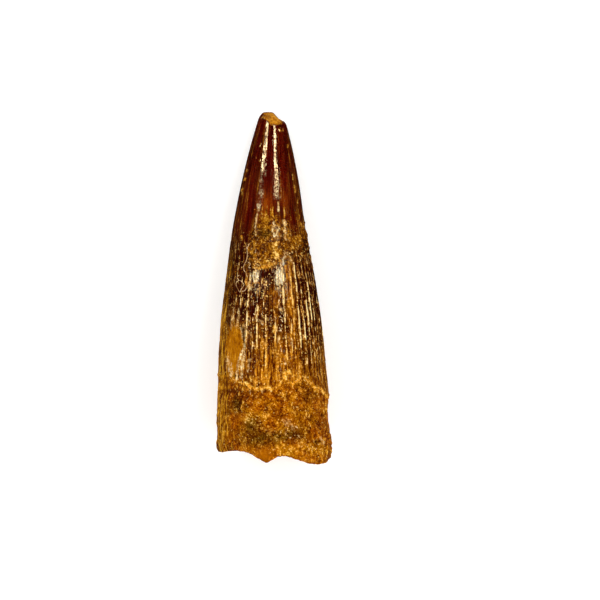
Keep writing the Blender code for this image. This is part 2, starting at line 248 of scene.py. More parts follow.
def smooth_through(stations):
    """A smooth curve through (place, value) pairs, as a function of arrays of places."""
    places, values = np.array(stations, float).T
    slopes = np.gradient(values, places)

    def curve(at):
        at = np.clip(at, places[0], places[-1])
        i = np.clip(np.searchsorted(places, at) - 1, 0, len(places) - 2)
        gap = places[i + 1] - places[i]
        s = (at - places[i]) / gap
        start = values[i] * (1 + 2 * s) + slopes[i] * gap * s
        end = values[i + 1] * (3 - 2 * s) + slopes[i + 1] * gap * (s - 1)
        return start * (1 - s) ** 2 + end * s**2

    return curve


left_edge, right_edge = smooth_through(LEFT_EDGE), smooth_through(RIGHT_EDGE)
flatness, underside = smooth_through(FLATNESS), smooth_through(UNDERSIDE)
enamel_edge, root_edge = smooth_through(ENAMEL_EDGE), smooth_through(ROOT_EDGE)
tip_edge = smooth_through(TIP_EDGE)
flake_left, flake_right = smooth_through(FLAKE_LEFT), smooth_through(FLAKE_RIGHT)


def rise(x, start, end):
    """0 before start, 1 after end, and a smooth slope between them. It falls if end is before start."""
    x = np.clip((x - start) / (end - start), 0, 1)
    return x * x * (3 - 2 * x)


def hump(x, centre, width):
    """1 at the centre, falling away to both sides."""
    return np.exp(-(((x - centre) / width) ** 2))


def clouds(points, size, octaves=2, seed=0):
    """Soft noise, mostly between -1 and 1, at points in millimetres. Size is one number or three."""
    shift = Vector((17.3, -9.1, 5.7)) * (seed + 1)
    return 1.6 * np.array([noise.fractal(Vector(p) + shift, 0.9, 2.0, octaves) for p in points / size])


def pebbles(points, size, seed=0):
    """(height, tone) of packed grains of this size: 1 on a grain's back and 0 in a seam, and its own tone."""
    shift = Vector((3.1, 8.7, -4.3)) * (seed + 1)
    height, tone = np.empty(len(points)), np.empty(len(points))
    for k, point in enumerate(points / size):
        distances, centres = noise.voronoi(Vector(point) + shift)
        height[k] = distances[1] - distances[0]
        tone[k] = noise.cell(centres[0] * 7.3)
    return rise(height, 0.0, 0.35), tone % 1.0


def centre_shift():
    """From the curves' millimetres to the frame's: the CAD box says where the tip and the sides are."""
    low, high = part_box("tooth")
    along = np.linspace(0, LENGTH, 200)
    middle = (left_edge(along).min() + right_edge(along).max()) / 2
    return np.array([(low.x + high.x) / 2 / MM - middle, high.y / MM - LENGTH, 0.0])


SHIFT = centre_shift()


def wall_point(angle, along, out):
    """The point of the wall at this angle and distance, raised by out, in millimetres of the frame."""
    left, right = left_edge(along), right_edge(along)
    width = right - left
    thickness = width * flatness(along)
    turn = np.radians(angle)
    across, up = np.sin(turn), np.cos(turn)
    slant = np.hypot(across / width, up / thickness)
    x = (left + right) / 2 + across * (width / 2 + out / width / slant)
    z = underside(along) + thickness / 2 + up * (thickness / 2 + out / thickness / slant)
    return np.stack([x, along, z], axis=-1) + SHIFT


def plan_place(angle, along):
    """How far across the tooth a point of the wall lies, seen from above."""
    left, right = left_edge(along), right_edge(along)
    return (left + right) / 2 + np.sin(np.radians(angle)) * (right - left) / 2


def fibre_place(angle, along):
    """A place on a straight rod, so that what runs along the rod converges on the tooth's tip."""
    turn = np.radians(angle)
    return np.stack([ROD_RADIUS * np.sin(turn), along, ROD_RADIUS * np.cos(turn)], axis=-1)


def all_crests():
    """(angle, stations) of every crest: the seen ones, and evenly spaced ones round the back."""
    rng = np.random.default_rng(4)
    first, last = SEEN_CRESTS[-1][0], SEEN_CRESTS[0][0] + 360
    count = round((last - first) / CREST_SPACING)
    hidden = first + (last - first) * (np.arange(1, count) + rng.uniform(-0.2, 0.2, count - 1)) / count
    return SEEN_CRESTS + [((a + 180) % 360 - 180, [(0, rng.uniform(0.5, 0.9))]) for a in hidden]


def fine_lines():
    """(angle, strength) of the fine lines between the crests."""
    rng = np.random.default_rng(11)
    places = 360 * (np.arange(LINES) + rng.uniform(-0.4, 0.4, LINES)) / LINES - 180
    return [(place, rng.uniform(0.2, 0.6)) for place in places]


class Spots:
    """Places on the wall, as arrays, with the noises that every kind of surface there shares."""

    def __init__(self, angle, along):
        self.angle, self.along = angle, along
        self.x = plan_place(angle, along)
        self.radius = (right_edge(along) - left_edge(along)) / 2
        self.facing_up = rise(np.cos(np.radians(angle)), -0.15, 0.15)
        self.fibre = fibre_place(angle, along)
        narrowing = self.radius / ROD_RADIUS
        self.body = self.fibre * np.stack([narrowing, np.ones_like(along), narrowing], axis=-1)
        self.coarse = clouds(self.body, 2.2, 2, 1)
        self.medium = clouds(self.body, 0.9, 2, 2)
        self.fine = clouds(self.body, 0.4, 2, 3)
        self.streak = clouds(self.fibre, (0.9, 7.0, 0.9), 3, 4)
        self.hair = clouds(self.fibre, (0.34, 3.0, 0.34), 2, 9)
        self.pebble, self.tone = pebbles(self.body, 0.46)

    def ovals(self, marks):
        """The sum of oval marks on the upper side, each at its full strength in the middle."""
        return self.facing_up * sum(
            strength * hump(self.x, x, across) * hump(self.along, along, lengthwise)
            for x, along, across, lengthwise, strength in marks
        )

    def strokes(self, marks):
        """How near each place is to any of the marks: its strength on the mark's line, and 0 away from it."""
        here = np.stack([self.x + 0.11 * self.fine, self.along + 0.14 * self.fine + 0.08 * self.medium], -1)
        nearest = np.zeros_like(self.along)
        for half_width, strength, *places in marks:
            for start, end in zip(np.array(places), np.array(places[1:])):
                share = np.clip((here - start) @ (end - start) / np.sum((end - start) ** 2), 0, 1)
                away = np.linalg.norm(here - start - share[:, None] * (end - start), axis=-1)
                nearest = np.maximum(nearest, strength * rise(away, 1.6 * half_width, 0.5 * half_width))
        return nearest * self.facing_up

    def from_line(self, line, wander):
        """How far round the wall each place lies from a line that runs along the tooth at an angle."""
        turn = (self.angle + wander - line + 180) % 360 - 180
        return turn * math.pi / 180 * self.radius


def flutes(p, flank):
    """Four masks, in this order: sharp crests, the swell under each, fine lines, and grooves beside the
    crests, which are cut into the surface and darkened in the colour as painted shade.
    """
    crest, swell, line, groove = (np.zeros_like(p.along) for _ in range(4))
    crests = all_crests()
    sides = np.random.default_rng(13).uniform(0.2, 1.0, (len(crests), 2))
    wander = 0.6 * clouds(p.fibre, (4.0, 9.0, 4.0), 1, 5) + 0.3 * clouds(p.fibre, (2.0, 2.5, 2.0), 1, 15)
    broad = 1 + 0.8 * rise(p.angle, 35, 62)
    for (angle, stations), (left, right) in zip(crests, sides):
        strength = np.interp(p.along + 0.3 * p.medium, *zip(*stations))
        off = p.from_line(angle, wander) + 0.05 * p.fine
        crest = np.maximum(crest, strength * hump(off, 0, CREST_WIDTH * broad * (1 + 0.4 * p.medium)))
        swell = np.maximum(swell, np.maximum(strength, 0.3) * hump(off, 0, SWELL_WIDTH))
        beside = left * hump(off, -GROOVE_OFFSET, GROOVE_WIDTH * broad)
        beside += right * hump(off, GROOVE_OFFSET, GROOVE_WIDTH * broad)
        groove = np.maximum(groove, beside * np.maximum(strength, 0.5))
    for angle, strength in fine_lines():
        line = np.maximum(line, strength * hump(p.from_line(angle, 2.5 * wander), 0, LINE_WIDTH))
    worn = np.clip(0.95 + 0.3 * clouds(p.fibre, (1.4, 4.0, 1.4), 2, 6) + 0.4 * p.fine, 0.15, 1)
    worn *= (1 - 0.2 * rise(p.angle, 28, 36)) * (1 - 0.6 * hump(p.angle, -54, 10))
    broken = rise(clouds(p.fibre, (1.2, 2.4, 1.2), 2, 16), -0.1, 0.6) * (1 - 0.4 * rise(p.angle, 30, 45))
    groove *= np.clip(0.8 + 0.5 * p.hair + 0.3 * p.fine, 0, 1) * (1 - flank)
    return crest * worn * (1 - 0.6 * flank), swell * (1 - 0.75 * flank), line * broken, groove


def sediment(p):
    """Ochre that fills the flutes, thick near the root, on the left flank and in one strip on the right."""
    darker = rise(p.angle, 18, 40) * (1 - 0.5 * rise(p.angle, 58, 70)) + 0.8 * hump(p.angle, -26, 9)
    fill = rise(p.along + 2.2 * p.streak + 1.6 * p.coarse + 4.0 * darker, 27.0, 15.5) * (1 - 0.25 * darker)
    strip = hump(p.angle, 25, 6.5) * rise(p.along, 17, 21) * rise(p.along + p.coarse, 37, 34)
    top = 29 - 4 * rise(p.angle, -74, -56)
    flank = hump(p.angle, -76, 20) * rise(p.along + 1.5 * p.coarse, top, top - 3)
    edge = 0.45 * rise(p.angle, -60, -68) * rise(p.angle, -110, -100) * rise(p.along, 38.5, 32)
    spot = p.ovals([(0.2, 28.3, 0.8, 2.2, 0.8)])
    return np.maximum.reduce([fill, 0.9 * strip, flank, edge, spot])


def sandy_crust(p):
    """(crust, shade): the crust round the middle of the crown, and its light and dark parts, of which the
    brightest are painted highlight.
    """
    lower_lip = 33.4 + 0.25 * p.medium + 1.0 * hump(p.angle, 34, 16)
    top = 40.6 + 1.6 * hump(p.angle, 3, 22) - 1.8 * hump(p.angle, -40, 11) + 0.9 * p.coarse + 2.0 * p.hair
    crust = rise(p.along, lower_lip - 0.12, lower_lip + 0.12) * rise(p.along, top + 2.2, top - 1.4)
    seen = rise(p.angle + 4 * p.medium, -38, -26) * rise(p.angle, 100, 84)
    crust *= seen + 0.7 * rise(np.abs(p.angle), 118, 140)
    crust *= np.clip(1.1 + 0.5 * p.medium + 0.4 * p.fine - p.ovals(CRUST_GAPS), 0, 1)
    crust *= 1 - 0.7 * rise(p.angle, 28, 42) * rise(p.along, 37.0, 35.0)
    crust = np.maximum(crust, p.ovals(CRUST_LUMPS) * rise(p.fine, -0.4, 0.2))
    return crust, p.ovals(CRUST_SHADES) + 0.35 * p.coarse


def flaked_patch(p):
    """(flake, crevice): bare dentine on the left, and the gap between it and the enamel beside it."""
    ragged = 0.15 * p.medium + 0.12 * p.fine + 0.2 * p.hair
    inside = np.minimum(p.x - flake_left(p.along), flake_right(p.along) - p.x) + ragged
    in_reach = rise(p.along, 15.0, 15.4) * rise(p.along + 1.0 * p.hair, 24.6, 23.2) * p.facing_up
    right = p.x - flake_right(p.along) + 0.3 * ragged
    crevice = hump(right, 0.25, 0.14) * rise(p.along, 20.0, 21.0) * rise(p.along, 24.6, 23.8) * p.facing_up
    return rise(inside, -0.12, 0.12) * in_reach, crevice


def pale_lip(p, above):
    """The pale, lumpy lip along the enamel's edge, where no stroke gives it."""
    lip = hump(above, 0.15, np.maximum(0.2 + 0.08 * p.medium, 0.12))
    lip *= np.clip(0.85 + 0.4 * p.coarse + 0.45 * p.fine, 0, 1) * (1 - 0.7 * p.facing_up)
    return rise(lip, 0.1, 0.65)


def polish(p, spots):
    """Where the enamel is glossy: two bands up the crown, worn below their middle, and a few spots."""
    even = rise(p.along + 0.6 * p.hair, 49.4, 50.2) * np.clip(1 - p.ovals(GLOSS_GAPS), 0, 1)
    even *= 1 - hump(p.angle, -2, 8) * rise(p.along, 51.2, 50.4)
    worn = 0.01 + 0.2 * hump(p.angle, -18.5, 3.5)
    worn += 0.9 * hump(p.angle, 13.8, 5.5) * rise(p.along + 0.4 * p.fine, 45.0, 45.6)
    worn += 0.3 * rise(np.abs(p.angle + 2), 26, 36)
    bands = even + rise(p.along, 50.4, 49.6) * worn * rise(p.along, 41.5, 43.5)
    below_tip = rise(tip_edge(p.angle) - p.along, 0.2, 0.4)
    facing = 1 - 0.7 * rise(np.abs(p.angle + 2), 46, 70)
    return np.maximum(bands, spots * (0.9 + 0.4 * p.fine)) * below_tip * facing


def surface(angle, along):
    """(height, masks) of the wall: how far it stands out, and where each kind of surface is, from 0 to 1."""
    p = Spots(angle, along)
    above = along - enamel_edge(angle) - 0.12 * p.medium - 0.1 * p.fine
    enamel = rise(above, -ENAMEL_LIP, 0)
    root = 1 - enamel
    lower_crown = rise(above, 0.3, 3.5) * rise(along, 45.0, 36.0)
    upper_crown = rise(along, 36.0, 42.0)
    root_strip = rise(angle + 4 * p.medium + 5 * p.coarse, -44, -60) * rise(angle, -120, -105)
    flank = enamel * hump(angle, -74, 22) * (1 - 0.8 * upper_crown) + root * root_strip

    crest, swell, line, groove = flutes(p, flank)
    fill = sediment(p)
    crust, crust_shade = sandy_crust(p)
    flake, crevice = flaked_patch(p)
    splinter = p.strokes(SPLINTERS_AND_GLINTS) * np.clip(0.9 + 0.5 * p.hair, 0.3, 1)
    golden = np.maximum(p.strokes(GOLDEN_EDGES), pale_lip(p, above)) * np.clip(0.95 + 0.6 * p.fine, 0.35, 1)
    bulge = p.ovals(SMOOTH_BULGE)
    stain = p.ovals(OLIVE_STAINS) + 0.7 * root * rise(p.coarse, 0.5, 1.0) * (1 - p.facing_up)
    stain = np.clip(stain * (1.25 + 0.6 * p.medium + 0.4 * p.coarse), 0, 1)
    pit = p.ovals(PITS) + 0.5 * root * hump(angle + 3 * p.medium, -53, 1.5) * rise(p.coarse, 0, 0.6)
    spots = p.ovals(GLOSS_SPOTS)
    bare = 1 - flake
    clean = 1 - crust
    fluted = lower_crown * bare

    # How far it stands out
    fluting = CREST_HEIGHT * crest + LINE_HEIGHT * line - GROOVE_DEPTH * groove
    fluting += SWELL_HEIGHT * (swell - 1) * (1 - 0.5 * fill)
    height = enamel * bare * fluting * (lower_crown * np.clip(1 - 0.8 * spots, 0, 1) + 0.02 * upper_crown)
    height += enamel * (0.006 * p.streak + lower_crown * (0.006 * p.streak + 0.015 * p.fine)) * clean
    height += enamel * flank * 0.04 * p.hair
    height += 0.05 * hump(angle, -24.5, 8) * rise(along, 55.2, 53.4) * rise(along, 48.5, 50)
    height += crust * (0.08 + 0.1 * p.medium + 0.06 * p.fine + 0.03 * (p.pebble - 0.4))
    height -= flake * (FLAKE_DEPTH - 0.03 * p.hair) + 0.12 * crevice
    height += 0.1 * splinter + 0.12 * golden - 0.3 * np.clip(pit, 0, 1)
    roughness = root * (1 - 0.7 * bulge) * (1 - 0.6 * root_strip)
    height += roughness * (0.1 * p.medium + 0.05 * p.fine + 0.03 * (p.pebble - 0.5))
    height += root * (0.16 * p.coarse + 0.05 * root_strip * p.hair - ENAMEL_STEP)

    # Light and shade, and thin deposits
    # Golden film on the flanks, a thin deposit, and in bands just beside the two highlight streaks, which is
    # painted sheen
    film = 0.8 * hump(angle, -26, 7) + 0.7 * hump(angle, 17, 4.5) + rise(np.abs(angle + 3), 30, 62)
    film = (film + p.ovals(FILM_AND_SHEEN_PATCHES)) * (0.55 + 0.45 * p.streak + 0.35 * p.hair) * rise(along, 58.5, 55)
    far_right = rise(along, 24, 28)
    dim = 0.15 * rise(angle, 40, 56) * rise(along, 18, 24) + 0.2 * rise(angle, 58, 68) * far_right
    shade = root * (p.ovals(ROOT_SHADES) + 0.25 * p.coarse + 0.25 * p.medium)
    shade += enamel * (crust * crust_shade + clean * (0.15 * p.coarse - dim))
    dull = 1 - 0.25 * rise(angle, 50, 62) - 0.2 * rise(angle, 60, 70) * far_right
    grit = 0.22 * p.medium + 0.35 * p.fine + 0.12 * (p.pebble - 0.5) + 0.2 * (p.tone - 0.5)
    sparkle = np.clip(hump(angle, -19, 9) + hump(angle, 14, 12), 0, 1) * lower_crown * (1 - 0.7 * fill)
    return height, {
        "enamel": enamel,
        "crest": np.maximum(crest, line) * (lower_crown + 0.15 * upper_crown) * bare * dull,
        "swell": swell * fluted * (0.65 + 0.65 * rise(angle, 24, 34)),
        "groove": groove * fluted * clean * (1 - 0.3 * fill),
        "upper": upper_crown,
        "glow": p.ovals(WARM_GLOWS),
        "film": film,
        "flank": flank,
        "fill": fill,
        "hair": 0.5 + 0.5 * p.hair,
        "streak": 0.5 + 0.5 * p.streak,
        "crust": crust,
        "flake": flake,
        "splinter": splinter,
        "golden": golden,
        "stain": stain * (root + enamel * crust),
        # Painted shade: the pits, the crevice and a crease on the root are coloured dark
        "dark": np.maximum(pit, 0.8 * crevice),
        "smooth": root * np.maximum(bulge, 0.4 * root_strip),
        "shade": 0.5 + 0.5 * shade,
        "grit": 0.5 + grit,
        "gloss": polish(p, spots) * enamel * bare * (1 - 0.85 * fill) * (1 - 0.5 * crust),
        "rugged": 0.1 + 0.9 * rise(along, 51, 49),
        "spot": spots,
        "sparkle": sparkle * enamel * bare * (1 - 0.5 * crust),
    }


def net():
    """(angle of every column, ring share of every ring from 1 at the tip to 0), with the seam underneath."""
    turn = np.arange(COLUMNS) / COLUMNS - 0.5
    angles = 360 * turn - CROWDING * np.sin(math.tau * turn)
    crown = np.linspace(LENGTH, NECK, CROWN_RINGS, endpoint=False)
    return angles, np.concatenate([crown, np.linspace(NECK, 0, NECK_RINGS + 1)]) / LENGTH


def wall_net():
    """Angle and distance of the wall's vertices, as two grids of rings by columns."""
    angles, down = net()
    angle = np.tile(angles, (len(down), 1))
    fine = 0.12 * clouds(fibre_place(angles, np.zeros(COLUMNS)), 0.5, 2, 8)
    tip, root = tip_edge(angles) + 0.3 * fine, root_edge(angles) + 0.5 * fine
    return angle, root + (tip - root) * down[:, None]


def cap(rim, bulge, rings, roughness, seed):
    """A broken end inside a rim of points: its rings from the rim inward, without the rim, and its middle."""
    centre = rim.mean(axis=0)
    share = (np.arange(rings - 1, 0, -1) / rings)[:, None, None]
    inner = centre + (rim - centre) * share
    inner[..., 1:2] += bulge * (1 - share**2)
    flat = inner.reshape(-1, 3)
    relief = roughness * (clouds(flat, 2.0, 2, seed) + 0.5 * clouds(flat, 0.5, 2, seed + 1))
    inner[..., 1] += relief.reshape(inner.shape[:2]) * np.minimum(1, 3 * (1 - share[..., 0]))
    return inner, centre + [0, bulge, 0]


def grid_faces(rows, columns):
    """Quads between neighbouring rings and columns of a closed net."""
    i, j = np.meshgrid(np.arange(rows - 1), np.arange(columns), indexing="ij")
    k = (j + 1) % columns
    corners = [i * columns + j, (i + 1) * columns + j, (i + 1) * columns + k, i * columns + k]
    return np.stack(corners, axis=-1).reshape(-1, 4)


def add_attribute(mesh, name, values):
    """Stores one number, or one vector, for each vertex."""
    kind, field = ("FLOAT", "value") if values.ndim == 1 else ("FLOAT_VECTOR", "vector")
    mesh.attributes.new(name, kind, "POINT").data.foreach_set(field, values.astype(np.float32).ravel())


def new_object(name, mesh):
    piece = bpy.data.objects.new(name, mesh)
    bpy.context.scene.collection.objects.link(piece)
    return piece


def broken_ends(angle, along, points, on_wall):
    """(tip, root): where the bare fracture of each end shows. It runs a little way up the wall."""
    tip, root = np.zeros(len(points)), np.zeros(len(points))
    near_side = rise(np.abs(angle[0] - 10), 100, 45)
    from_middle = np.arange(1, TIP_RINGS)[:, None] / TIP_RINGS
    tip[:on_wall.start] = np.maximum(near_side, rise(from_middle, 1.0, 0.6)).ravel()
    tip[-2] = 1
    tip *= 0.25 + 0.75 * rise(points[:, 0] - SHIFT[0], -1.4, -0.2)
    turn = angle.ravel()
    depth = (along[0] - along).ravel() + 0.12 * clouds(points[on_wall], 0.6, 2, 42)
    reach = 0.12 + 0.3 * hump(turn, -2, 10)
    tip[on_wall] = rise(depth, reach, 0.4 * reach) * rise(np.abs(turn - 12), 55, 30)
    root[on_wall.stop:-2] = 1
    root[-1] = 1
    return tip, root


def make_tooth():
    """The whole tooth as one closed mesh, with its masks as vertex attributes."""
    angle, along = wall_net()
    height, masks = surface(angle.ravel(), along.ravel())
    blunt = rise(np.abs(angle), 30, 60) * rise(angle, 130, 70)
    rounding = 0.25 * np.clip(1 - (along - along[-1]) / 0.7, 0, 1) ** 2
    rounding += (0.08 + 0.22 * blunt) * np.clip(1 - (along[0] - along) / (0.3 + 0.6 * blunt), 0, 1) ** 2
    wall = wall_point(angle, along, height.reshape(angle.shape) - rounding)
    tip, tip_middle = cap(wall[0], TIP_DOME, TIP_RINGS, 0.08, 20)
    root, root_middle = cap(wall[-1], ROOT_DISH, DISH_RINGS, 0.3, 30)
    rings = np.concatenate([tip[::-1], wall, root])
    points = np.concatenate([rings.reshape(-1, 3), [tip_middle, root_middle]])
    points[:, 2] = np.maximum(points[:, 2], 0)

    quads = grid_faces(len(rings), COLUMNS)
    j = np.arange(COLUMNS)
    k = (j + 1) % COLUMNS
    last = (len(rings) - 1) * COLUMNS
    tip_fan = np.stack([np.full(COLUMNS, len(points) - 2), j, k], axis=-1)
    root_fan = np.stack([last + k, last + j, np.full(COLUMNS, len(points) - 1)], axis=-1)
    mesh = bpy.data.meshes.new("tooth_surface")
    mesh.from_pydata(points * MM, [], quads.tolist() + tip_fan.tolist() + root_fan.tolist())

    on_wall = slice(len(tip) * COLUMNS, (len(tip) + len(wall)) * COLUMNS)
    on_ends = {
        "hair": 0.5,
        "streak": 0.5,
        "shade": 0.5 + 0.22 * clouds(points, 2.8, 2, 44),
        "grit": 0.5 + 0.35 * clouds(points, 0.9, 2, 40) + 0.3 * clouds(points, 0.4, 2, 41),
    }
    for name, mask in masks.items():
        whole = np.zeros(len(points)) + on_ends.get(name, 0.0)
        whole[on_wall] = mask
        add_attribute(mesh, name, np.clip(whole, 0, 1))
    for name, mask in zip(("broken_tip", "broken_root"), broken_ends(angle, along, points, on_wall)):
        add_attribute(mesh, name, mask)
    turn = np.concatenate([np.tile(angle[0], len(rings)), [0, 0]])
    add_attribute(mesh, "fibre", fibre_place(turn, points[:, 1]))
    lay_map(mesh, quads)
    mesh.shade_smooth()
    return new_object("tooth_surface", mesh)


def lay_map(mesh, quads):
    """A map for the bake: columns run across it, and rings down it, with a band for each broken end."""
    tip_band, root_band = 0.03, 0.14
    rows = np.concatenate([
        1 - tip_band * np.arange(1, TIP_RINGS) / TIP_RINGS,
        root_band + (1 - tip_band - root_band) * net()[1],
        root_band * np.arange(DISH_RINGS - 1, 0, -1) / DISH_RINGS,
    ])

    def corner_places(*corners):
        places = [np.stack(np.broadcast_arrays(*corner), axis=-1) for corner in corners]
        return np.stack(places, axis=1).reshape(-1, 2)

    i, j = np.divmod(quads[:, 0], COLUMNS)
    a, b = j / COLUMNS, (j + 1) / COLUMNS
    on_quads = corner_places((a, rows[i]), (a, rows[i + 1]), (b, rows[i + 1]), (b, rows[i]))
    a = np.arange(COLUMNS) / COLUMNS
    middle, b = a + 0.5 / COLUMNS, a + 1 / COLUMNS
    tip_fan = corner_places((middle, 1.0), (a, rows[0]), (b, rows[0]))
    root_fan = corner_places((b, rows[-1]), (a, rows[-1]), (middle, 0.0))
    places = np.concatenate([on_quads, tip_fan, root_fan])
    mesh.uv_layers.new(name="OFBake").data.foreach_set("uv", places.ravel())


def on_wall(x, along, lift=0.0):
    """The point of the upper side at this place in plan view."""
    left, right = left_edge(along), right_edge(along)
    angle = np.degrees(np.arcsin(np.clip((x - (left + right) / 2) / ((right - left) / 2), -1, 1)))
    height, _ = surface(angle, along)
    return wall_point(angle, along, height + lift)


def grain_shapes(rng, count):
    """Little lumps with 20 faces: points as (count, 12, 3), about 1 across, and the faces of one lump."""
    shape = bmesh.new()
    bmesh.ops.create_icosphere(shape, subdivisions=1, radius=0.5)
    points = np.array([v.co for v in shape.verts])
    faces = np.array([[v.index for v in f.verts] for f in shape.faces])
    shape.free()
    stretch = rng.uniform(0.5, 1.5, (count, 1, 3))
    lumps = points * stretch * rng.uniform(0.85, 1.15, (count, len(points), 1))
    turn = np.linalg.qr(rng.normal(size=(count, 3, 3)))[0]
    turn *= np.sign(np.linalg.det(turn))[:, None, None]
    return np.einsum("npi,nij->npj", lumps, turn), faces


def make_grains():
    """Sand grains stuck in the crust, along the enamel's edge and on the root."""
    rng = np.random.default_rng(21)
    angle = rng.uniform(-180, 180, GRAIN_TRIES)
    along = rng.uniform(0.3, 58, GRAIN_TRIES)
    keep = (along > root_edge(angle) + 0.3) & (rng.uniform(0, 10, GRAIN_TRIES) < right_edge(along))
    angle, along = angle[keep], along[keep]
    height, m = surface(angle, along)
    enamel, upper = m["enamel"], m["upper"]
    clumps = rise(clouds(wall_point(angle, along, 0 * along), 1.6, 2, 25), -0.3, 0.6)
    chance = 0.3 * m["crust"] + 0.09 * (1 - enamel) * (1 - m["smooth"]) + 0.3 * m["golden"]
    chance += enamel * (0.05 * m["fill"] + 0.05 * upper * m["film"])
    chance += 0.05 * enamel * rise(along, 38, 30) * (1 - m["flake"]) * (1 - m["flank"])
    chance *= 1 - 0.8 * hump(np.abs(angle), 90, 16)
    chance += 0.12 * m["crest"] * (1 - upper)
    keep = rng.uniform(0, 1, len(chance)) < chance * (0.2 + clumps)
    angle, along, height, grit = angle[keep], along[keep], height[keep], m["grit"][keep]
    size = rng.lognormal(math.log(USUAL_GRAIN), 0.35, len(angle))
    size = np.clip(size, SMALLEST_GRAIN, LARGEST_GRAIN) * (1 - 0.4 * rise(along, 40, 46))
    lumps, faces = grain_shapes(rng, len(angle))
    points = wall_point(angle, along, height - 0.2 * size)[:, None, :] + lumps * size[:, None, None]
    clear = points[..., 2].min(axis=1) > 0.02
    points, grit, pale = points[clear], grit[clear], ((along > 19) & (along < 32))[clear]
    count, corners = points.shape[:2]
    indices = (faces[None] + corners * np.arange(count)[:, None, None]).reshape(-1, 3)
    mesh = bpy.data.meshes.new("sand_grains")
    mesh.from_pydata(points.reshape(-1, 3) * MM, [], indices.tolist())
    tone = 0.3 + 0.4 * grit + 0.2 * pale + rng.normal(0, 0.2, count)
    add_attribute(mesh, "tone", np.repeat(np.clip(tone, 0, 1), corners))
    return new_object("sand_grains", mesh)


def tube(line, radii, sides):
    """Points and faces of a closed tube along a line of points, with a radius for each."""
    ahead = np.gradient(line, axis=0)
    beside = np.cross(ahead, [0, 0, 1.0])
    above = np.cross(beside, ahead)
    beside, above = (v / np.linalg.norm(v, axis=1, keepdims=True) for v in (beside, above))
    turn = (np.arange(sides) / sides * math.tau)[None, :, None]
    ring = np.cos(turn) * beside[:, None] + np.sin(turn) * above[:, None]
    points = (line[:, None] + ring * radii[:, None, None]).reshape(-1, 3)
    ends = [list(range(sides - 1, -1, -1)), list(range(len(points) - sides, len(points)))]
    return points, grid_faces(len(line), sides)[:, ::-1].tolist() + ends


def make_rootlets():
    """Hair-thin pale rootlets stuck to the enamel, as tubes along routes in plan view."""
    points, faces = [], []
    for route in ROOTLETS:
        x, along = (smooth_through(list(enumerate(places))) for places in zip(*route))
        length = sum(math.dist(a, b) for a, b in zip(route, route[1:]))
        steps = np.linspace(0, len(route) - 1, max(int(length / ROOTLET_STEP), 6))
        from_end = np.minimum(steps, steps[-1] - steps)
        line = on_wall(x(steps), along(steps), ROOTLET_RADIUS)
        new_points, new_faces = tube(line, ROOTLET_RADIUS * np.clip(0.3 + 3 * from_end, 0.3, 1), 6)
        faces.extend([corner + len(points) for corner in face] for face in new_faces)
        points.extend(new_points)
    mesh = bpy.data.meshes.new("rootlets")
    mesh.from_pydata(np.array(points) * MM, [], faces)
    mesh.shade_smooth()
    return new_object("rootlets", mesh)


def paint(rgb):
    """A shader's colour, from an sRGB colour written as 0xRRGGBB."""
    values = np.array([rgb >> 16, rgb >> 8 & 255, rgb & 255]) / 255
    linear = np.where(values <= 0.04045, values / 12.92, ((values + 0.055) / 1.055) ** 2.4)
    return (*linear, 1.0)


def stops(*pairs):
    """A ramp's stops from (place, 0xRRGGBB) pairs."""
    return [(place, paint(rgb)) for place, rgb in pairs]


RED_ENAMEL = stops((0.2, 0x2A0000), (0.48, 0x440000), (0.7, 0x5C0F00), (0.92, 0x965610))
WARM_ENAMEL = stops((0.2, 0x601200), (0.5, 0x8A3600), (0.9, 0xB0640E))
# Colours of the golden film, and of the painted sheen beside the highlight streaks
FILM_AND_SHEEN = stops((0.2, 0x220200), (0.47, 0x401200), (0.66, 0x663602), (0.88, 0xBE862C))
DARK_GROOVE = stops((0.25, 0x220000), (0.43, 0x360400), (0.56, 0x642C00), (0.69, 0xB8802C), (0.85, 0xFFE4A0))
OCHRE_GROOVE = stops((0.2, 0x360800), (0.38, 0x682C00), (0.54, 0x9A5602), (0.72, 0xD28816), (0.9, 0xFFC860))
DARK_FLANK = stops((0.25, 0x1E0000), (0.52, 0x2E0800), (0.72, 0x482000), (0.94, 0x84581A))
FLANK = stops((0.28, 0x381000), (0.47, 0x743C00), (0.63, 0xA86A02), (0.84, 0xE2A82C))
CRUST = stops((0.2, 0x240600), (0.38, 0x4E2000), (0.55, 0x7C4402), (0.74, 0xB87C18), (0.94, 0xF6CC70))
FLAKE = stops((0.2, 0x703800), (0.45, 0x9C5A00), (0.7, 0xB67206), (0.92, 0xDA9A2C))
# The pale strokes' colours: pale splinters, and glints that are painted highlight
SPLINTER_AND_GLINT = stops((0.2, 0x985C18), (0.45, 0xDCA454), (0.75, 0xFFEAAA), (0.95, 0xFFFAE2))
ORANGE_BONE = stops((0.2, 0x461400), (0.38, 0x763400), (0.54, 0x9C5000), (0.72, 0xC07008), (0.92, 0xF2B244))
GOLDEN_BONE = stops((0.2, 0x4A1E00), (0.38, 0x7E4200), (0.54, 0xA25E02), (0.72, 0xCC8814), (0.92, 0xFACA5A))
OLIVE_BONE = stops((0.2, 0x2C1400), (0.45, 0x583804), (0.66, 0x7E560E), (0.92, 0xD6AC5A))
GOLDEN = stops((0.2, 0xA65400), (0.45, 0xE69414), (0.7, 0xFCC854), (0.9, 0xFFE49C))
FRACTURE = stops((0.15, 0x783A00), (0.45, 0xAE6804), (0.8, 0xDE9C2C))
GRAIN = stops((0.1, 0x321000), (0.35, 0x7A3E00), (0.6, 0xAA6406), (0.8, 0xD6962C), (0.97, 0xFFE09C))
PAINTED_PIT_SHADE, PALE_SPECK, SMOOTH_BONE = paint(0x240800), paint(0xFCD074), paint(0xB06402)


